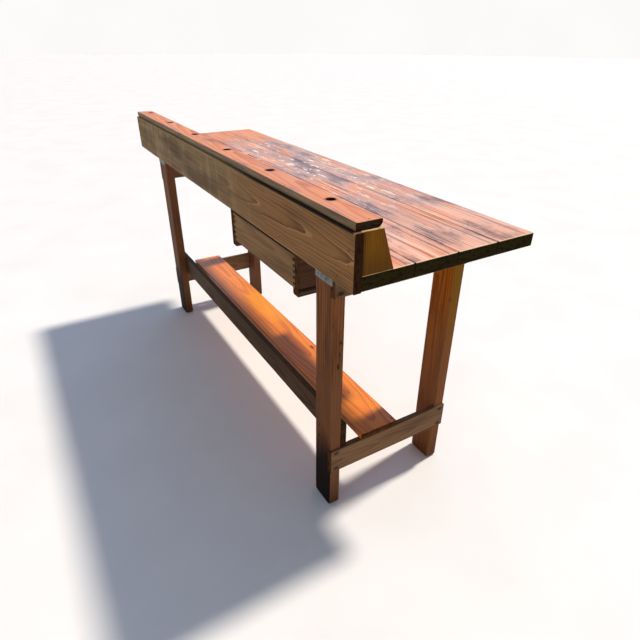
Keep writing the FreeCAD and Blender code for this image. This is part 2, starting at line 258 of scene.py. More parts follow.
bpy.ops.object.light_add(type="AREA", location=FILL_PLACE)
fill = bpy.context.object
fill.name = "fill_panel"
fill.data.shape = "SQUARE"
fill.data.size = FILL_SIDE
fill.data.energy = FILL_POWER
fill.data.color = linear(FILL_COLOUR)[:3]
fill.rotation_mode = "QUATERNION"
fill.rotation_quaternion = (FILL_AIM - FILL_PLACE).to_track_quat("-Z", "Y")
print(fill.name, "is", FILL_SIDE, "m wide")

# %% [markdown]
# ## The room
# The rest of the light comes from the room. Walls could be built, but a room drawn by direction is simpler:
# dim grey walls, cool daylight from a far window, a cool ceiling, and white low walls that throw light back
# under the top.

# %% Light of the room by direction
TO_WINDOW = Vector((-0.75, 0.50, 0.43))
ROOM_STRENGTH = 1.0

world = bpy.data.worlds.new("room_light")
bpy.context.scene.world = world
world.use_nodes = True
world.node_tree.nodes.clear()
air = world.node_tree
view = add(air, "TexCoord").outputs["Generated"]
height = add(air, "SeparateXYZ", {0: view}).outputs["Z"]
window_side = add(air, "VectorMath", {0: view, 1: TO_WINDOW}, operation="DOT_PRODUCT").outputs["Value"]
walls = coat(air, "#3A3836", "#BCD2FF", window_side, 0.72, 0.97)
walls_and_ceiling = coat(air, walls, "#BCCAE6", height, 0.65, 0.9)
room = coat(air, walls_and_ceiling, "#FFFEFC", height, 0.42, 0.08)
glow = add(air, "Background", {"Color": room, "Strength": ROOM_STRENGTH})
add(air, "OutputWorld", {"Surface": glow})
bpy.context.scene.view_settings.view_transform = "Standard"
print("room light of", len(air.nodes), "nodes")

# %% [markdown]
# ## The axes of a board
# Wear and dirt follow a board's own ends, edges and faces. Painted on by hand they would fit one view only.
# Instead each board's box gives its middle, its long axis and how far a point lies inside each face, in
# metres.

# %% Axes and distances of one board
def board_axes(tree, name):
    """Where a point lies from a board's middle, with its length first, and how far in from its outside."""
    low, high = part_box(name)
    half = (high - low) / 2
    order = sorted(range(3), key=lambda axis: -half[axis])
    spot = add(tree, "TexCoord").outputs["Object"]
    local = add(tree, "VectorMath", {0: spot, 1: (low + high) / 2}, operation="SUBTRACT")
    split = add(tree, "SeparateXYZ", {0: local})
    along = add(tree, "CombineXYZ", {place: split.outputs[axis] for place, axis in enumerate(order)})
    size = add(tree, "VectorMath", {0: along}, operation="ABSOLUTE")
    reach = tuple(half[axis] for axis in order)
    depth = add(tree, "VectorMath", {0: reach, 1: size}, operation="SUBTRACT")
    inset = add(tree, "SeparateXYZ", {0: depth})
    return {"half": half, "spot": spot, "along": along,
            "x": split.outputs["X"], "y": split.outputs["Y"], "z": split.outputs["Z"],
            "end": inset.outputs["X"], "side": inset.outputs["Y"], "face": inset.outputs["Z"]}


print("axes ready")

# %% [markdown]
# ## The grain of a sawn board
# A board's figure is a slice through the growth rings of its log. Instead of painting lines on each face,
# rings are drawn in space around a pith line beside the board. Where a face cuts them flat they open into
# arches, where it cuts them square they close into stripes, and on the ends they show as arcs. The pith
# line leans and wanders a little, as trees do. Fibre and patches are noise stretched along the board.

# %% Fibre and patches
# Real fibre is far finer than a pixel, so it is drawn as bundles 4.5 mm wide.
FIBRE_MM = (160.0, 4.5, 4.5)
PATCH_MM = (420.0, 75.0, 75.0)


def per_metre(sizes_mm):
    """How often a pattern of these sizes repeats in a metre, along, across and through a board."""
    return tuple(1000.0 / size for size in sizes_mm)


def streaks(tree, along, sizes_mm, seed, detail=3.0):
    """Soft noise stretched to these sizes along, across and through a board."""
    scaled = add(tree, "VectorMath", {0: along, 1: per_metre(sizes_mm)}, operation="MULTIPLY")
    return add(tree, "TexNoise", {"Vector": scaled, "W": seed, "Scale": 1.0, "Detail": detail,
                                  "Roughness": 0.6}, noise_dimensions="4D")


print("fibre repeats", round(per_metre(FIBRE_MM)[1]), "times across a metre")

# %% Growth rings
# At scale 1 the wave pattern's rings lie this many metres apart.
WAVE_PERIOD = math.tau / 20
WANDER_MM = (520.0, 120.0, 120.0)


def growth_rings(tree, along, seed, ring_mm, pith_mm, lean, wander_mm):
    """Saw-tooth rings around a pith line that lies beside the board, leans and wanders."""
    slow = add(tree, "VectorMath", {0: along, 1: per_metre(WANDER_MM)}, operation="MULTIPLY")
    drift = add(tree, "TexNoise", {"Vector": slow, "W": seed, "Scale": 1.0, "Detail": 2.0},
                noise_dimensions="4D")
    swing = add(tree, "VectorMath", {0: drift.outputs["Color"], 1: (0.5, 0.5, 0.5)}, operation="SUBTRACT")
    sway = add(tree, "VectorMath", {0: swing, 1: (0, wander_mm * MM, wander_mm * MM)}, operation="MULTIPLY")
    bent = add(tree, "VectorMath", {0: along, 1: sway}, operation="ADD")
    trunk = add(tree, "Mapping", {"Vector": bent, "Location": (0, -pith_mm[0] * MM, -pith_mm[1] * MM),
                                  "Rotation": (0, lean[1], lean[0])})
    rings = add(tree, "TexWave", {"Vector": trunk, "Scale": WAVE_PERIOD / (ring_mm * MM), "Distortion": 1.2,
                                  "Detail": 2.0, "Detail Scale": 0.35},
                wave_type="RINGS", rings_direction="X", wave_profile="SAW")
    return rings.outputs["Fac"]


def start_board(finish, name, seed, ring_mm, pith_mm, lean, wander_mm=22.0, piece=None):
    """Gives a board, or a piece in its place, an empty material. Returns its tree and its patterns."""
    material, tree = new_material(finish + "_" + name)
    dress(nodes[name] if piece is None else piece, material)
    grain = board_axes(tree, name)
    grain["rings"] = growth_rings(tree, grain["along"], seed, ring_mm, pith_mm, lean, wander_mm)
    grain["fibre"] = streaks(tree, grain["along"], FIBRE_MM, seed)
    grain["patch"] = streaks(tree, grain["along"], PATCH_MM, seed + 3, detail=4.0)
    return tree, grain


print("rings of 5 mm have scale", round(WAVE_PERIOD / (5 * MM), 1))

# %% [markdown]
# ## From grain to a finish
# Softwood darkens slowly from pale early wood to a hard late line and then stops at once, so the rings are
# a saw-tooth and not a sine. The finish mixes those two colours, scores fibre into them, rubs the arrises
# and darkens the end grain, which drinks dirt. On old wood the late lines stand proud, so rings also feed
# the bump. Oil has sunk in, so the shine is weak.

# %% Early wood, late wood and fibre
def softwood(tree, grain, early, late, fibre, rings, fibres, line_from=0.35):
    """Early and late wood, the late lines broken by the fibre, and the fibre scored along both."""
    broken = add(tree, "MapRange", {"Value": grain["fibre"], "From Min": 0.2, "From Max": 0.6}, **SOFT)
    colour = coat(tree, early, late, grain["rings"], line_from, 0.97, rings, within=broken)
    return coat(tree, colour, fibre, grain["fibre"], 0.5, 0.78, fibres)


print("wood colours ready")

# %% Worn arrises and end grain
ARRIS_MM = 7.0
RAGGED_MM = 30.0
END_SKIN_MM = 0.6
SOAKED_MM = (30.0, 26.0, 9.0)


def rub_arrises(tree, grain, colour, worn, most):
    """Worn long edges, made ragged by the broad patches."""
    edge = add(tree, "Math", {0: grain["side"], 1: grain["face"]}, operation="MAXIMUM")
    ragged = add(tree, "Math", {0: grain["patch"], 1: RAGGED_MM * MM, 2: edge}, operation="MULTIPLY_ADD")
    middle = RAGGED_MM * MM / 2
    return coat(tree, colour, worn, ragged, middle + ARRIS_MM * MM, middle, most)


def darken_ends(tree, grain, colour, end_early, end_late):
    """End grain: the same rings as arcs, in the tones of wood that has drunk dirt."""
    arcs = coat(tree, end_early, end_late, grain["rings"], 0.2, 0.9, 0.6)
    soaked = streaks(tree, grain["along"], SOAKED_MM, seed=2.0, detail=5.0)
    arcs = coat(tree, arcs, "#15110D", soaked, 0.42, 0.66, 0.75)
    return coat(tree, colour, arcs, grain["end"], END_SKIN_MM * MM * 2, END_SKIN_MM * MM)


print("arrises are worn", ARRIS_MM, "mm wide")

# %% Sheen and raised grain
WOOD_IOR = 1.5
FIBRE_DEPTH = -0.8


def seal(tree, grain, colour, rough=(0.52, 0.78), relief_mm=0.25, sheen=0.12):
    """Closes a wood finish: a dull sheen that varies with the fibre, and raised rings."""
    dull = add(tree, "MapRange", {"Value": grain["fibre"], "To Min": rough[0], "To Max": rough[1]})
    raised = add(tree, "Math", {0: grain["fibre"], 1: FIBRE_DEPTH, 2: grain["rings"]},
                 operation="MULTIPLY_ADD")
    bump = add(tree, "Bump", {"Height": raised, "Strength": 0.7, "Distance": relief_mm * MM})
    shine = add(tree, "MapRange", {"Value": grain["end"], "From Min": END_SKIN_MM * MM * 4,
                                   "From Max": END_SKIN_MM * MM * 8, "To Max": sheen}, **SOFT)
    wood = add(tree, "BsdfPrincipled", {"Base Color": colour, "Roughness": dull, "Normal": bump,
                                        "IOR": WOOD_IOR, "Specular IOR Level": shine})
    add(tree, "OutputMaterial", {"Surface": wood})


print("finish layers ready")

# %% [markdown]
# ## Masks
# A board's faces differ: one is handled, one weathered, one never finished. A material per face would have
# hard borders. A mask that fades with the distance from one outer plane is softer, and an oval with a soft
# rim places stains, knots and paint.

# %% Skin beside a plane, and an oval
def skin(tree, grain, plane, skin_mm=1.5, most=1.0):
    """A share that is most on the skin beside an outer plane of a board, such as +z or -y, and 0 inside."""
    side, axis = plane
    half = getattr(grain["half"], axis)
    gap = add(tree, "Math", {0: grain[axis], 1: half if side == "+" else -half}, operation="SUBTRACT")
    off = add(tree, "Math", {0: gap}, operation="ABSOLUTE")
    return add(tree, "MapRange", {"Value": off, "From Min": skin_mm * MM * 2, "From Max": skin_mm * MM,
                                  "To Max": most}, **SOFT)


def oval(tree, spot, centre, reach, rim, core, most=1.0):
    """A share that is 0 at an oval's rim and most in its core, both counted in its reach."""
    off = add(tree, "VectorMath", {0: spot, 1: centre}, operation="SUBTRACT")
    scaled = add(tree, "VectorMath", {0: off, 1: tuple(1 / side for side in reach)}, operation="MULTIPLY")
    away = add(tree, "VectorMath", {0: scaled}, operation="LENGTH").outputs["Value"]
    return add(tree, "MapRange", {"Value": away, "From Min": rim, "From Max": core, "To Max": most}, **SOFT)


print("masks ready")

# %% [markdown]
# ## The working top
# Four thick planks, once oiled, are bleached to salmon and orange where they are bare, and grey-violet
# where glue, oil and filings have soaked in. The stains cross the seams, so they are drawn in the bench's
# own coordinates, while the grain is each plank's own. A picture would also do, but it could not follow the
# ends.

# %% Bare wood of the top
STRIP_MM = (900.0, 22.0, 22.0)
BLEACHED_MM = (300.0, 13.0, 13.0)
DARK_LINE_MM = (600.0, 9.0, 9.0)


def bare_top(tree, grain, index):
    """Salmon wood with orange strips, tired patches, bleached streaks and dark lines."""
    colour = softwood(tree, grain, "#EAAA84", "#CA7450", "#84483A", rings=0.85, fibres=0.5)
    strip = streaks(tree, grain["along"], STRIP_MM, 5.0 + index)
    colour = coat(tree, colour, "#E07A38", strip, 0.44, 0.58, 0.75)
    colour = coat(tree, colour, "#DDB3A2", grain["patch"], 0.42, 0.66, 0.65)
    bleached = streaks(tree, grain["along"], BLEACHED_MM, 14.0 + index)
    colour = coat(tree, colour, "#EACDB8", bleached, 0.52, 0.68, 0.6)
    dark_line = streaks(tree, grain["along"], DARK_LINE_MM, 9.0 + index)
    return coat(tree, colour, "#6E3A34", dark_line, 0.52, 0.64, 0.8)


print("orange strips are about", STRIP_MM[1], "mm wide")

# %% Stains of the top
STAIN_CENTRE = (-0.05, 0.10, 0.89)
STAIN_REACH = (0.90, 0.34, 1.0)
FAR_FADE = (-0.5, -0.8)


def stained(tree, grain, colour, smear):
    """A grey film where the work was done, dark oil in the open fibre, and an orange far end."""
    cloud = add(tree, "TexNoise", {"Vector": smear, "Scale": 1.0, "Detail": 6.0, "Roughness": 0.7})
    worked = oval(tree, grain["spot"], STAIN_CENTRE, STAIN_REACH, rim=1.3, core=0.45)
    colour = coat(tree, colour, "#A59498", cloud, 0.36, 0.58, 0.8, within=worked)
    open_fibre = add(tree, "MapRange", {"Value": grain["fibre"], "From Min": 0.3, "From Max": 0.6}, **SOFT)
    colour = coat(tree, colour, "#4C4048", cloud, 0.50, 0.64, 0.9, within=open_fibre)
    return coat(tree, colour, "#DC8648", grain["x"], *FAR_FADE, 0.65)


print("stains reach", STAIN_REACH[0], "m to each side")

# %% [markdown]
# ## Paint on the top
# White paint was spattered over the middle, in ragged drops of many sizes. Drops drawn one by one would
# look placed. A cell pattern gives every cell a drop of its own size, or none, noise makes the rims ragged,
# and a coarser noise gathers them into clusters.

# %% Ragged drops
RAGS_PER_DROP = 1.6
RIM_PUSH = 0.9
LARGEST_DROP = 0.6


def spatter(tree, spot, cell_mm, bare_cells, seed):
    """A value above 0 inside ragged drops of many sizes."""
    rough = add(tree, "TexNoise", {"Vector": spot, "W": seed, "Scale": RAGS_PER_DROP * 1000.0 / cell_mm[1],
                                   "Detail": 2.0}, noise_dimensions="4D")
    jitter = add(tree, "VectorMath", {0: rough.outputs["Color"], 1: (0.5, 0.5, 0.5)}, operation="SUBTRACT")
    push = tuple(side * MM * RIM_PUSH for side in cell_mm)
    pushed = add(tree, "VectorMath", {0: jitter, 1: push, 2: spot}, operation="MULTIPLY_ADD")
    cells = add(tree, "VectorMath", {0: pushed, 1: per_metre(cell_mm)}, operation="MULTIPLY")
    drops = add(tree, "TexVoronoi", {"Vector": cells, "W": seed, "Scale": 1.0}, voronoi_dimensions="4D")
    lot = add(tree, "SeparateColor", {0: drops.outputs["Color"]}).outputs[0]
    size = add(tree, "MapRange", {"Value": lot, "From Min": bare_cells, "To Max": LARGEST_DROP})
    return add(tree, "Math", {0: size, 1: drops.outputs["Distance"]}, operation="SUBTRACT")


print("the largest drop fills", LARGEST_DROP, "of its cell")

# %% Paint in clusters
PAINT_CENTRE = (-0.06, 0.13, 0.89)
PAINT_REACH = (0.80, 0.24, 1.0)
DROP_MM = (75.0, 19.0, 19.0)
SPECK_MM = (26.0, 9.0, 9.0)
DROP_EDGE = 0.08
CLUSTERS_PER_SMEAR = 1.6


def painted(tree, grain, colour, smear):
    """White drops and specks, crowded in clusters around the middle of the top."""
    clusters = add(tree, "TexNoise", {"Vector": smear, "Scale": CLUSTERS_PER_SMEAR, "Detail": 4.0})
    thick = add(tree, "MapRange", {"Value": clusters, "From Min": 0.38, "From Max": 0.50}, **SOFT)
    place = oval(tree, grain["spot"], PAINT_CENTRE, PAINT_REACH, rim=1.1, core=0.35)
    dense = add(tree, "Math", {0: place, 1: thick}, operation="MULTIPLY")
    drops = spatter(tree, grain["spot"], DROP_MM, bare_cells=0.2, seed=2.0)
    colour = coat(tree, colour, "#EFE7DC", drops, 0.0, DROP_EDGE, 0.9, within=dense)
    specks = spatter(tree, grain["spot"], SPECK_MM, bare_cells=0.3, seed=6.0)
    return coat(tree, colour, "#E6DACF", specks, 0.0, DROP_EDGE, 0.8, within=dense)


print("drops lie about", DROP_MM[1], "mm apart")

# %% [markdown]
# ## Outside of the planks
# The upper arris at each end is rubbed pale, the underside never saw oil or sun, dirt lies in the seams,
# and the corners beside the ends are almost black. Each is placed by the distance from the plank's own
# outside, so it fits a plank of any size.

# %% Rubbed ends, underside and seams
def worn_outside(tree, grain, colour):
    """Pale ends above, a dull underside, dirty seams, black corners and dark end grain."""
    upper = skin(tree, grain, "+z", skin_mm=2.0)
    colour = coat(tree, colour, "#EBCBA8", grain["end"], 6.0 * MM, 2.0 * MM, 0.8, within=upper)
    dull = coat(tree, "#664C34", "#3C2A1C", grain["fibre"], 0.35, 0.7)
    dull = coat(tree, dull, "#2E2016", grain["rings"], 0.45, 0.95, 0.6)
    dull = coat(tree, dull, "#7A6048", grain["patch"], 0.5, 0.75, 0.5)
    under = skin(tree, grain, "-z", skin_mm=3.0)
    colour = coat(tree, colour, dull, under)
    colour = coat(tree, colour, "#33231C", grain["side"], 2.0 * MM, 0.5 * MM, 0.25)
    by_side = add(tree, "MapRange", {"Value": grain["side"], "From Min": 4.0 * MM, "From Max": 2.0 * MM},
                  **SOFT)
    colour = coat(tree, colour, "#241C10", grain["end"], 5.0 * MM, 3.0 * MM, within=by_side)
    return darken_ends(tree, grain, colour, "#322B17", "#1E180D")


print("outside layers ready")

# %% The four planks
SMEAR_MM = (250.0, 91.0, 1000.0)
TOP_PITHS_MM = {"top_plank_1": -150, "top_plank_2": 120, "top_plank_3": -110, "top_plank_4": 160}

for index, (name, pith) in enumerate(TOP_PITHS_MM.items()):
    # Worn oiled fir gives warm salmon and orange figure under a grey film, with hard white flecks of paint.
    tree, grain = start_board("worn_oiled_fir", name, seed=1.7 * index, ring_mm=6.0, pith_mm=(pith, -60),
                              lean=(0.015 * (-1) ** index, 0.02))
    smear = add(tree, "VectorMath", {0: grain["spot"], 1: per_metre(SMEAR_MM)}, operation="MULTIPLY")
    colour = bare_top(tree, grain, index)
    colour = stained(tree, grain, colour, smear)
    colour = painted(tree, grain, colour, smear)
    colour = worn_outside(tree, grain, colour)
    seal(tree, grain, colour, rough=(0.42, 0.66), sheen=0.5)
print("dressed", len(TOP_PITHS_MM), "planks of the top")

# %% [markdown]
# ## The tool rail's cap
# The cap is handled all day, so its upper face is worn to salmon and orange, while its outer edge has gone
# olive grey. Tools have left a brown ring round each hole, and the holes' walls are painted near black as
# their shade. The holes have an even pitch, so one folded distance finds them all, and a hole's wall is
# known by its steep normal.

# %% Cap with a worn face and a weathered edge
CAP = "tool_rail_cap"
SMUDGE_MM = (200.0, 45.5, 1000.0)

# Worn oiled fir gives the warm, faintly shiny face of wood that hands have rubbed.
tree, grain = start_board("worn_oiled_fir", CAP, seed=8.1, ring_mm=7.0, pith_mm=(18, -60),
                          lean=(0.006, 0.025))
colour = softwood(tree, grain, "#DA8E62", "#B65A34", "#7A3E2C", rings=0.75, fibres=0.4)
colour = coat(tree, colour, "#C98A78", grain["patch"], 0.45, 0.7, 0.7)
handled = add(tree, "VectorMath", {0: grain["along"], 1: per_metre(SMUDGE_MM)}, operation="MULTIPLY")
smudge = add(tree, "TexNoise", {"Vector": handled, "W": 4.0, "Scale": 1.0, "Detail": 4.0},
             noise_dimensions="4D")
colour = coat(tree, colour, "#7C5F62", smudge, 0.55, 0.72, 0.75)
weathered = coat(tree, "#7E6642", "#55412A", grain["fibre"], 0.35, 0.7)
outer = skin(tree, grain, "-y", skin_mm=2.2)
colour = coat(tree, colour, weathered, outer)
colour = darken_ends(tree, grain, colour, "#3A2E20", "#1B140E")
print("cap has smudges", SMUDGE_MM[:2], "mm in size")

# %% Tool holes of the cap
HOLE_PITCH = 0.334
HOLE_FROM_END = 0.176
HOLE_FROM_EDGE = 0.046
RING_OUTER = 0.021
RING_INNER = 0.0125

cap_low, cap_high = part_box(CAP)
first_hole = (cap_high.x - cap_low.x) / 2 - HOLE_FROM_END
hole_line = HOLE_FROM_EDGE - (cap_high.y - cap_low.y) / 2
from_first = add(tree, "Math", {0: grain["x"], 1: first_hole}, operation="SUBTRACT")
from_hole = add(tree, "Math", {0: from_first, 1: HOLE_PITCH / 2}, operation="PINGPONG")
from_line = add(tree, "Math", {0: grain["y"], 1: hole_line}, operation="SUBTRACT")
offset = add(tree, "CombineXYZ", {0: from_hole, 1: from_line})
away = add(tree, "VectorMath", {0: offset}, operation="LENGTH").outputs["Value"]
colour = coat(tree, colour, "#5A3428", away, RING_OUTER, RING_INNER, 0.75)
# Painted shade: the walls of the holes are darkened near black, as the shade inside each hole.
upward = add(tree, "SeparateXYZ", {0: add(tree, "TexCoord").outputs["Normal"]}).outputs["Z"]
level = add(tree, "Math", {0: upward}, operation="ABSOLUTE")
steep = add(tree, "MapRange", {"Value": level, "From Min": 0.6, "From Max": 0.3}, **SOFT)
inward = add(tree, "MapRange", {"Value": grain["side"], "From Min": 6.0 * MM, "From Max": 9.0 * MM}, **SOFT)
bore_shade = add(tree, "Math", {0: steep, 1: inward}, operation="MULTIPLY")
colour = coat(tree, colour, "#1C120D", grain["end"], 2.0 * MM, 4.0 * MM, within=bore_shade)
seal(tree, grain, colour, rough=(0.48, 0.7), sheen=0.4)
print("cap has holes every", HOLE_PITCH, "m")

# %% [markdown]
# ## The back board
# The back board is weathered outside and greyer at the far end. Its large arch of flat-sawn figure comes
# from a pith line close to the board. The inner face kept its orange. The ledge under the cap is painted
# near black as shade at the near end, and painted paler towards the far end to lift the shade there.

# %% Weathered back board
CLOUDY_MM = (60.0, 240.0, 60.0)

# Weathered fir gives a dull grey-brown board with sharp arches that sink into haze towards the far end.
tree, grain = start_board("weathered_fir", "back_board", seed=5.3, ring_mm=5.0, pith_mm=(6, 60),
                          lean=(-0.002, 0.020), wander_mm=17.0)
colour = softwood(tree, grain, "#8A623A", "#5A3A20", "#38241A", rings=0.85, fibres=0.5, line_from=0.6)
colour = coat(tree, colour, "#B08A5C", grain["rings"], 0.2, 0.04, 0.55)
cloudy = streaks(tree, grain["along"], CLOUDY_MM, seed=7.0, detail=4.0)
faded = coat(tree, "#8A7352", "#604D34", grain["fibre"], 0.35, 0.75)
faded = coat(tree, faded, "#A58C66", cloudy, 0.46, 0.66, 0.6)
colour = coat(tree, colour, faded, grain["x"], 0.6, 0.0, 0.88)
colour = coat(tree, colour, "#4E3B25", grain["patch"], 0.46, 0.72, 0.7)
inner = skin(tree, grain, "+y", most=0.7)
colour = coat(tree, colour, "#C97E50", inner)
colour = rub_arrises(tree, grain, colour, "#A58866", 0.45)
# Painted shade: the ledge under the cap is near black at the near end, and painted paler towards the far end
# to lift the shade there.
ledge = skin(tree, grain, "+z", skin_mm=2.5)
ledge_painted_shade = coat(tree, "#94794F", "#140E0A", grain["x"], 0.05, 0.5)
colour = coat(tree, colour, ledge_painted_shade, grain["end"], 4.0 * MM, 12.0 * MM, 0.92, within=ledge)
colour = darken_ends(tree, grain, colour, "#3F2519", "#160F0A")
seal(tree, grain, colour, rough=(0.6, 0.85))
print("dressed the back board")

# %% [markdown]
# ## The brackets
# A sloped bracket closes each end of the tool rail. It keeps a thick coat of old yellow varnish, browner
# low down, and its cut ends are pale. Both have the same shape, so a loop dresses them, each with its own
# grain.

# %% Varnished brackets
for index, name in enumerate(["cap_bracket_near", "cap_bracket_far"]):
    # Brushed varnish over fir gives a deep mustard yellow with brown figure under it.
    tree, grain = start_board("varnished_fir", name, seed=11.0 + index, ring_mm=4.5, pith_mm=(-70, 40),
                              lean=(0.02, 0.03))
    colour = softwood(tree, grain, "#7E5208", "#543204", "#2E1A06", rings=0.9, fibres=0.6)
    colour = coat(tree, colour, "#5A2E08", grain["patch"], 0.45, 0.65, 0.7)
    colour = coat(tree, colour, "#4C300E", grain["z"], 0.02, -0.05, 0.6)
    colour = rub_arrises(tree, grain, colour, "#2E2008", 0.6)
    colour = darken_ends(tree, grain, colour, "#D9B98A", "#A8845A")
    seal(tree, grain, colour, rough=(0.4, 0.6), sheen=0.05)
print("dressed both brackets")

# %% [markdown]
# ## The legs
# The legs are dressed timber, darkened by old oil. Feet stand in damp and sweepings, so each leg is darker
# near the floor, and the back legs' rear faces turn almost black low down. The near front leg's outer face
# is painted yellow-olive near its top, as bounce light. Knots, dents and nail heads that are easy to see
# are small dark ovals, placed one by one.

# %% Marks on the legs
NAIL_MARK = (0.004, 0.01, 0.007)
LEG_MARKS = {
    "leg_near_back": [((0.8225, -0.232, 0.628), (0.02, 0.004, 0.009)),
                      ((0.8225, -0.239, 0.551), (0.02, 0.005, 0.013)),
                      ((0.8225, -0.235, 0.590), (0.02, 0.002, 0.012)),
                      ((0.7565, -0.2595, 0.258), NAIL_MARK), ((0.7565, -0.2595, 0.301), NAIL_MARK)],
    "leg_near_front": [((0.8225, 0.165, 0.656), (0.02, 0.002, 0.012))],
    "leg_far_back": [((-0.7685, -0.2595, 0.258), NAIL_MARK), ((-0.7685, -0.2595, 0.301), NAIL_MARK)]}


def marks(tree, grain, colour, places, dark="#1C120C"):
    """Knots, dents and nail heads: soft dark ovals, each with its centre and its reach in metres."""
    for centre, reach in places:
        mark = oval(tree, grain["spot"], centre, reach, rim=1.0, core=0.5, most=0.85)
        colour = coat(tree, colour, dark, mark)
    return colour


print("marks on", len(LEG_MARKS), "legs")

# %% Damp feet, painted bounce light and dark rear faces of the legs
DAMP_RAGGED = 0.25
DAMP_FADE = (0.85, 0.5)
DIRT_FADE = (0.28, 0.08)
REAR_DARK_FADE = (0.46, 0.30)


def leg_weather(tree, grain, name, colour):
    """Damp and dirt from the foot up, worn arrises, marks, painted bounce light on one face, and dark rear
    faces.
    """
    height = add(tree, "SeparateXYZ", {0: grain["spot"]}).outputs["Z"]
    ragged = add(tree, "Math", {0: grain["patch"], 1: DAMP_RAGGED, 2: height}, operation="MULTIPLY_ADD")
    colour = coat(tree, colour, "#70492F", ragged, *DAMP_FADE, 0.7)
    colour = coat(tree, colour, "#271B11", ragged, *DIRT_FADE, 0.6)
    colour = rub_arrises(tree, grain, colour, "#7A5332", 0.4)
    colour = marks(tree, grain, colour, LEG_MARKS.get(name, []))
    if name == "leg_near_front":
        # Painted light: the near front leg's outer face is tinted yellow-olive near its top, as bounce light.
        outer = skin(tree, grain, "+x")
        colour = coat(tree, colour, "#6A5206", height, 0.35, 0.75, 0.75, within=outer)
    # The back legs' rear faces turn almost black towards the floor.
    if name.endswith("back"):
        rear = skin(tree, grain, "-y")
        colour = coat(tree, colour, "#0C0806", ragged, *REAR_DARK_FADE, 0.95, within=rear)
    return colour


print("dirt rises to about", DIRT_FADE[0], "m")

# %% The four legs
LEGS = {"leg_near_back": ("#87542E", "#5E3418"), "leg_near_front": ("#AC5E10", "#843C06"),
        "leg_far_back": ("#795137", "#562E1B"), "leg_far_front": ("#7D5237", "#562F1C")}
LEG_LINE_MM = (420.0, 11.0, 11.0)

for index, (name, (early, late)) in enumerate(LEGS.items()):
    # Oiled fir gives a deep red-brown with long dark lines and almost no shine.
    tree, grain = start_board("oiled_fir", name, seed=21.0 + 1.3 * index, ring_mm=5.5,
                              pith_mm=(-60 + 42 * index, 58), lean=(0.01, 0.02))
    colour = softwood(tree, grain, early, late, "#271610", rings=1.0, fibres=0.55)
    colour = coat(tree, colour, "#492C19", grain["patch"], 0.48, 0.72, 0.6)
    line = streaks(tree, grain["along"], LEG_LINE_MM, 4.0 + index)
    colour = coat(tree, colour, "#2C180E", line, 0.5, 0.66, 0.6)
    colour = leg_weather(tree, grain, name, colour)
    colour = darken_ends(tree, grain, colour, "#4A3624", "#2A1C12")
    seal(tree, grain, colour, sheen=0.08)
print("dressed", len(LEGS), "legs")

# %% [markdown]
# ## The rails
# The rails are thinner boards of the same oiled timber, let into the legs and nailed. Iron stains the wood
# around each nail black, most of all along the grain. The nails lie in mirror image about the rail's
# middle, so one folded distance finds all of them.

# %% Rails with nail stains
RAILS = ["upper_rail_near", "upper_rail_far", "lower_rail_near", "lower_rail_far"]
NAIL_FROM_END = 0.019
NAIL_FROM_SIDE = 0.013
NAIL_STAIN_MM = 9.0
STAIN_SQUASH = 0.55

for index, name in enumerate(RAILS):
    # Oiled fir gives a tired brown board with a black stain at every nail.
    tree, grain = start_board("oiled_fir", name, seed=31.0 + 1.9 * index, ring_mm=6.5,
                              pith_mm=(20 - 12 * index, 48), lean=(0.02, 0.045))
    colour = softwood(tree, grain, "#866344", "#5E3F28", "#331F13", rings=0.75, fibres=0.45)
    colour = coat(tree, colour, "#503A28", grain["patch"], 0.46, 0.7, 0.75)
    from_end = add(tree, "Math", {0: grain["end"], 1: NAIL_FROM_END}, operation="SUBTRACT")
    from_side = add(tree, "Math", {0: grain["side"], 1: NAIL_FROM_SIDE}, operation="SUBTRACT")
    squashed = add(tree, "Math", {0: from_end, 1: STAIN_SQUASH}, operation="MULTIPLY")
    offset = add(tree, "CombineXYZ", {0: squashed, 1: from_side})
    away = add(tree, "VectorMath", {0: offset}, operation="LENGTH").outputs["Value"]
    colour = coat(tree, colour, "#18110D", away, NAIL_STAIN_MM * MM, 2.0 * MM, 0.85)
    colour = rub_arrises(tree, grain, colour, "#312116", 0.55)
    colour = darken_ends(tree, grain, colour, "#5E3F26", "#311F13")
    seal(tree, grain, colour)
print("dressed", len(RAILS), "rails")

# %% [markdown]
# ## The stretcher
# The stretcher stands on edge against the back legs, in the shade of the top, and has the darkest oil on
# the bench. The layers are the rails' own, without the nail stains.

# %% Dark stretcher
# Oiled fir, long in the shade, gives an even chocolate brown.
tree, grain = start_board("oiled_fir", "back_stretcher", seed=43.0, ring_mm=7.5, pith_mm=(-14, 55),
                          lean=(0.004, 0.026))
colour = softwood(tree, grain, "#584029", "#3A2516", "#1F130E", rings=0.8, fibres=0.5)
colour = coat(tree, colour, "#36281C", grain["patch"], 0.45, 0.7, 0.75)
colour = rub_arrises(tree, grain, colour, "#36281C", 0.5)
colour = darken_ends(tree, grain, colour, "#462F1D", "#23160E")
seal(tree, grain, colour, sheen=0.15)
print("dressed the stretcher")

# %% [markdown]
# ## The shelf
# The shelf is only touched by what lies on it, and keeps a strong orange and a little shine. A resinous
# streak, a red knot and a dark dent are ovals, as the marks on the legs are.

# %% Orange shelf
RESIN_CENTRE = (-0.12, -0.03, 0.26)
RESIN_REACH = (0.24, 0.09, 1.0)
SHELF_KNOT = ((0.308, -0.029, 0.26), (0.02, 0.009, 0.05))
SHELF_DENT = ((0.811, -0.016, 0.26), (0.006, 0.005, 0.05))

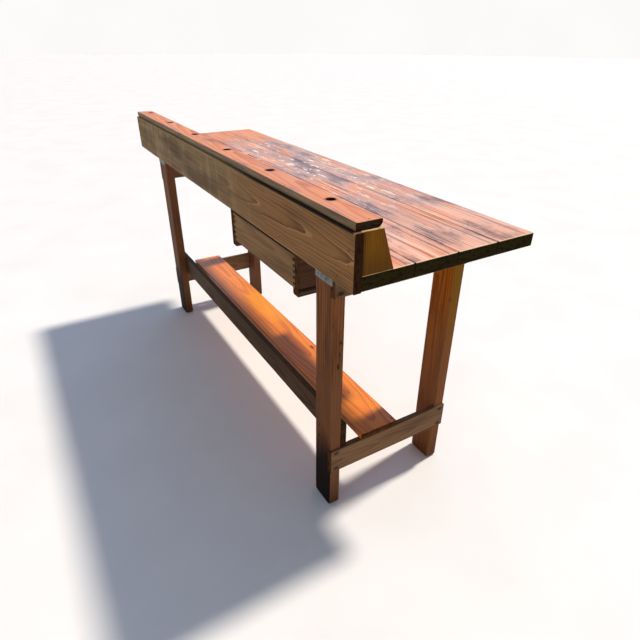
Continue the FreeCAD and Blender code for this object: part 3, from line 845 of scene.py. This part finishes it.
# Planed fir under old shellac gives a glowing orange with wide arches and a soft shine.
tree, grain = start_board("shellacked_fir", "shelf_board", seed=47.0, ring_mm=8.5, pith_mm=(12, -70),
                          lean=(0.006, -0.03), wander_mm=30.0)
colour = softwood(tree, grain, "#F08A14", "#C65C08", "#6E3420", rings=0.85, fibres=0.4)
colour = coat(tree, colour, "#C25E2A", grain["patch"], 0.5, 0.75, 0.6)
resin = oval(tree, grain["spot"], RESIN_CENTRE, RESIN_REACH, rim=1.0, core=0.35, most=0.8)
colour = coat(tree, colour, "#F39A14", resin)
colour = marks(tree, grain, colour, [SHELF_KNOT], dark="#6A2418")
colour = marks(tree, grain, colour, [SHELF_DENT])
colour = rub_arrises(tree, grain, colour, "#A85C34", 0.4)
colour = darken_ends(tree, grain, colour, "#5A3A24", "#2E1E14")
seal(tree, grain, colour, rough=(0.28, 0.45), sheen=0.6)
print("dressed the shelf")

# %% [markdown]
# ## The drawer's box
# The drawer's walls are plain pine with finger joints at the corners. A finger's end is end grain, a little
# darker than the wall beside it, so each corner shows as a ladder. The fingers are solids already, so the
# end grain layer alone draws it.

# %% Drawer walls
DRAWER_WALLS = ["drawer_back", "drawer_inner_front", "drawer_side_near", "drawer_side_far"]

for index, name in enumerate(DRAWER_WALLS):
    # Planed pine gives a plain tan board with quiet figure.
    tree, grain = start_board("planed_pine", name, seed=53.0 + 2.1 * index, ring_mm=7.0,
                              pith_mm=(30 - 15 * index, 75), lean=(0.01, 0.02))
    colour = softwood(tree, grain, "#8C6A44", "#674829", "#45301D", rings=0.75, fibres=0.35)
    colour = coat(tree, colour, "#5E462D", grain["patch"], 0.46, 0.72, 0.7)
    colour = rub_arrises(tree, grain, colour, "#382718", 0.5)
    colour = darken_ends(tree, grain, colour, "#5C4228", "#3A2614")
    seal(tree, grain, colour)
print("dressed", len(DRAWER_WALLS), "walls of the drawer")

# %% [markdown]
# ## The drawer's face and bottom, hangers and runners
# Hangers and runners were never finished and have gone a dull reddish brown, while the drawer's face and
# bottom are paler. Dirt marks the joint between each hanger and its runner. All six have the same layers,
# so a loop takes their colours from a table.

# %% Plain boards under the top
JOINT_DIRT_MM = 4.5
PLAIN_BOARDS = {"drawer_face": ("#B07A4C", "#84502C"), "drawer_bottom": ("#C2A078", "#A4805A"),
                "drawer_hanger_near": ("#593A26", "#3F2417"), "drawer_hanger_far": ("#563825", "#3C2315"),
                "drawer_runner_near": ("#5E3F2B", "#422719"), "drawer_runner_far": ("#5E3F2B", "#422719")}

for index, (name, (early, late)) in enumerate(PLAIN_BOARDS.items()):
    # Bare sawn pine gives a dry, dull board with dark arrises.
    tree, grain = start_board("sawn_pine", name, seed=61.0 + 1.7 * index, ring_mm=6.5,
                              pith_mm=(-20 + 9 * index, 52), lean=(0.01, 0.03))
    colour = softwood(tree, grain, early, late, "#3A2618", rings=0.7, fibres=0.45)
    colour = coat(tree, colour, late, grain["patch"], 0.48, 0.72, 0.6)
    colour = rub_arrises(tree, grain, colour, "#1E120B", 0.85)
    if "hanger" in name:
        joint = skin(tree, grain, "-z", skin_mm=JOINT_DIRT_MM, most=0.95)
        colour = coat(tree, colour, "#0E0805", joint)
    colour = darken_ends(tree, grain, colour, "#5A3E2A", "#2E1E14")
    seal(tree, grain, colour)
print("dressed", len(PLAIN_BOARDS), "plain boards")

# %% [markdown]
# ## Iron and steel
# Cut nails are rolled iron, black with age and rusty in patches. The angles are dull zinc-plated strip, and
# the screws are mild steel with a brown bloom. A metal's colour is its reflection, so the three differ by
# tint and roughness, and an oxide is less metallic than what it grows on.

# %% Metal with blotches
PIT_MM = 0.2
BLOOM_METALLIC = 0.25
BLOOM_ROUGH = 0.85


def old_metal(name, clean, bloom, blotch_mm, rough, metallic):
    """A metal with blotches of rust or bloom, which are duller, less metallic and slightly pitted."""
    material, tree = new_material(name)
    spot = add(tree, "TexCoord").outputs["Object"]
    blotch = add(tree, "TexNoise", {"Vector": spot, "Scale": 1000.0 / blotch_mm, "Detail": 4.0,
                                    "Roughness": 0.65})
    share = add(tree, "MapRange", {"Value": blotch, "From Min": 0.42, "From Max": 0.66}, **SOFT)
    colour = coat(tree, clean, bloom, share)
    shine = add(tree, "MapRange", {"Value": share, "To Min": metallic, "To Max": BLOOM_METALLIC})
    dull = add(tree, "MapRange", {"Value": share, "To Min": rough, "To Max": BLOOM_ROUGH})
    pits = add(tree, "Bump", {"Height": share, "Strength": 0.4, "Distance": PIT_MM * MM})
    metal = add(tree, "BsdfPrincipled", {"Base Color": colour, "Metallic": shine, "Roughness": dull,
                                         "Normal": pits})
    add(tree, "OutputMaterial", {"Surface": metal})
    return material


print("pits are", PIT_MM, "mm deep")

# %% Nails, angles and screws
# Zinc plating gives a soft grey gleam with duller clouds, like an old bucket.
zinc = old_metal("zinc_plated_steel", "#767B7C", "#5C6162", blotch_mm=14.0, rough=0.42, metallic=0.9)
# Rolled iron gives nail heads that are almost black, with a trace of rust.
nail_iron = old_metal("rolled_nail_iron", "#2B2623", "#3A241A", blotch_mm=3.0, rough=0.6, metallic=0.6)
# Turned mild steel gives a dull silver with a brown bloom.
screw_steel = old_metal("turned_screw_steel", "#6F6A64", "#5A4030", blotch_mm=4.0, rough=0.45, metallic=0.9)
for name, piece in nodes.items():
    if name.endswith("_nails"):
        dress(piece, nail_iron)
    elif name.startswith("steel_angle"):
        dress(piece, zinc)
    elif name.endswith(("_screw", "_screws")):
        dress(piece, screw_steel)
print("dressed", sum(name.endswith("_nails") for name in nodes), "groups of nails")

# %% [markdown]
# ## The turned pull
# The pull is turned on a lathe, so its shape is one profile swept round an axis. It is modelled the way a
# turner works: from the neck the wood is drawn outwards step by step, and each ring is widened or narrowed.
# A subdivision surface then rounds the steps into one smooth curve.

# %% Turned pull on the drawer's face
RING_SIDES = 24
NECK_RADIUS = 9.6 * MM
WELD = 0.00001
# Each step is how far the wood is drawn out, in millimetres, and how much the ring there is widened.
KNOB_STEPS = [(2.5, 1.0), (2.5, 0.93), (3.0, 0.98), (3.5, 1.22), (3.5, 1.34), (3.0, 1.20), (2.8, 1.03),
              (2.4, 0.95), (2.0, 0.84), (1.5, 0.66), (0.9, 0.45)]

knob_low, knob_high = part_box("drawer_knob")
knob_middle = (knob_low + knob_high) / 2
knob_at = Vector((knob_middle.x, knob_low.y, knob_middle.z))
bpy.ops.object.select_all(action="DESELECT")
bpy.ops.mesh.primitive_circle_add(vertices=RING_SIDES, radius=NECK_RADIUS, fill_type="NGON", location=knob_at,
                                  rotation=(math.radians(-90), 0, 0))
knob = bpy.context.object
knob.name = "turned_pull"
bpy.ops.object.transform_apply(location=True, rotation=True, scale=True)
bpy.ops.object.mode_set(mode="EDIT")
bpy.ops.mesh.select_all(action="SELECT")
reached = 0.0
for step_mm, widen in KNOB_STEPS:
    reached += step_mm
    bpy.ops.mesh.extrude_region_move(TRANSFORM_OT_translate={"value": (0, step_mm * MM, 0)})
    bpy.ops.transform.resize(value=(widen, 1, widen), center_override=knob_at + Vector((0, reached * MM, 0)))
bpy.ops.mesh.select_all(action="SELECT")
bpy.ops.mesh.remove_doubles(threshold=WELD)
bpy.ops.mesh.normals_make_consistent(inside=False)
bpy.ops.object.mode_set(mode="OBJECT")
print("profile of", len(KNOB_STEPS), "steps,", round(reached, 1), "mm long")

# %% Rounded and worn pull
rounding = knob.modifiers.new("rounding", "SUBSURF")
rounding.levels = 2
rounding.render_levels = 2
bpy.ops.object.modifier_apply(modifier=rounding.name)
bpy.ops.object.shade_smooth()
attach(knob, "drawer")
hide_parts("drawer_knob")

# Turned wood, polished by hands, gives a warm brown with a low shine.
tree, grain = start_board("turned_fir", "drawer_knob", seed=71.0, ring_mm=4.0, pith_mm=(0, 14),
                          lean=(0.05, 0.05), wander_mm=6.0, piece=knob)
colour = softwood(tree, grain, "#A8683A", "#744020", "#3A1E10", rings=0.8, fibres=0.4)
colour = coat(tree, colour, "#4E2C18", grain["patch"], 0.5, 0.75, 0.5)
seal(tree, grain, colour, rough=(0.32, 0.5), relief_mm=0.1)
print("pull of", len(knob.data.polygons), "faces")

# %% [markdown]
# ## Where the screws are
# The frame has each group of screws as one piece. To find every head, a copy of the group is welded and
# taken apart into loose solids, the box of each is kept, and the copy is thrown away.

# %% Boxes of the solids in one group
def loose_parts(name):
    """The boxes of the separate solids in one node, found by their vertices' places."""
    piece = nodes[name]
    bpy.ops.object.select_all(action="DESELECT")
    twin = piece.copy()
    twin.data = piece.data.copy()
    twin.parent = None
    bpy.context.scene.collection.objects.link(twin)
    bpy.context.view_layer.objects.active = twin
    twin.select_set(True)
    bpy.ops.object.mode_set(mode="EDIT")
    bpy.ops.mesh.select_all(action="SELECT")
    bpy.ops.mesh.remove_doubles(threshold=WELD)
    bpy.ops.mesh.separate(type="LOOSE")
    bpy.ops.object.mode_set(mode="OBJECT")
    boxes = []
    for part in list(bpy.context.selected_objects):
        corners = [vertex.co for vertex in part.data.vertices]
        boxes.append((Vector(map(min, zip(*corners))), Vector(map(max, zip(*corners)))))
        bpy.data.objects.remove(part)
    return boxes


print("screws come in", sum(name.endswith(("_screw", "_screws")) for name in nodes), "groups")

# %% [markdown]
# ## Screw heads
# A screw inside the drawer has a flat round head: a short cylinder with an eased rim, slotted by a thin
# block. The coach screws of the steel angles have a forged hexagon head with a chamfered rim. One function
# makes both, because only the number of sides and the sizes differ.

# %% Head with an eased rim
FRONT = 0.9


def eased_disc(sides, radius, thickness, ease, middle, facing):
    """A head lying with its back at middle and its front towards facing, its front rim eased."""
    bpy.ops.object.select_all(action="DESELECT")
    turn = Vector((0, 0, 1)).rotation_difference(facing).to_euler()
    bpy.ops.mesh.primitive_cylinder_add(vertices=sides, radius=radius, depth=thickness, rotation=turn,
                                        location=middle + facing * thickness / 2)
    head = bpy.context.object
    bpy.ops.object.transform_apply(location=True, rotation=True, scale=True)
    bpy.ops.object.mode_set(mode="EDIT")
    bpy.ops.mesh.select_mode(type="FACE")
    bpy.ops.mesh.select_all(action="DESELECT")
    bpy.ops.object.mode_set(mode="OBJECT")
    for polygon in head.data.polygons:
        polygon.select = polygon.normal.dot(facing) > FRONT
    bpy.ops.object.mode_set(mode="EDIT")
    bpy.ops.mesh.region_to_loop()
    bpy.ops.mesh.bevel(offset=ease, segments=2, affect="EDGES")
    bpy.ops.object.mode_set(mode="OBJECT")
    return head


print("heads ready")

# %% Slot and place of a head
SLOT_WIDTH_MM = 1.3
SLOT_DEPTH_MM = 1.2
BLADE_LENGTH_MM = 26.0


def saw_slot(head, middle):
    """Cuts one upright slot across a head that faces along Y."""
    blade_size = (SLOT_WIDTH_MM * MM, 2 * SLOT_DEPTH_MM * MM, BLADE_LENGTH_MM * MM)
    bpy.ops.mesh.primitive_cube_add(size=1, location=middle, scale=blade_size)
    blade = bpy.context.object
    cut = head.modifiers.new("slot", "BOOLEAN")
    cut.operation = "DIFFERENCE"
    cut.object = blade
    bpy.context.view_layer.objects.active = head
    bpy.ops.object.modifier_apply(modifier=cut.name)
    bpy.data.objects.remove(blade)


def place_screw(head, name, body):
    """Names a finished screw head, dresses it and lets it ride with its body."""
    head.name = name
    dress(head, screw_steel)
    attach(head, body)


print("slots are", SLOT_WIDTH_MM, "mm wide")

# %% Slotted screws of the drawer
HEAD_SIDES = 20
HEAD_MM = 2.5
HEAD_EASE_MM = 0.4
HEAD_FIT = 0.98
OUT_OF_FACE = Vector((0, -1, 0))

made = 0
for node in ("drawer_face_screws", "knob_screw"):
    for low, high in loose_parts(node):
        radius = (high.x - low.x) / 2 * HEAD_FIT
        seat = Vector(((low.x + high.x) / 2, low.y + HEAD_MM * MM, (low.z + high.z) / 2))
        head = eased_disc(HEAD_SIDES, radius, HEAD_MM * MM, HEAD_EASE_MM * MM, seat, OUT_OF_FACE)
        saw_slot(head, seat + OUT_OF_FACE * HEAD_MM * MM)
        made += 1
        place_screw(head, "slotted_screw_%d" % made, "drawer")
        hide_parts(node)
print("made", made, "slotted screw heads")

# %% Coach screws of the steel angles
HEX_MM = 3.5
HEX_CHAMFER_MM = 0.8

for low, high in loose_parts("angle_screws"):
    size = high - low
    upright = size.z > size.y
    facing = Vector((0, 0, -1)) if upright else Vector((0, -1, 0))
    width = min(size.x, size.y if upright else size.z)
    seat = (low + high) / 2
    if upright:
        seat.z = low.z + HEX_MM * MM
    else:
        seat.y = low.y + HEX_MM * MM
    head = eased_disc(6, width / math.sqrt(3), HEX_MM * MM, HEX_CHAMFER_MM * MM, seat, facing)
    made += 1
    place_screw(head, "coach_screw_%d" % made, "bench")
    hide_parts("angle_screws")
print("made", made, "screw heads in all")

# %% [markdown]
# ## The size of the dressed bench
# The looks must not change the bench's size, so the dressed bench's box is printed.

# %% Print the dressed bench's box
low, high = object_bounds()
print("dressed bench", [round(side, 3) for side in high - low], "m")
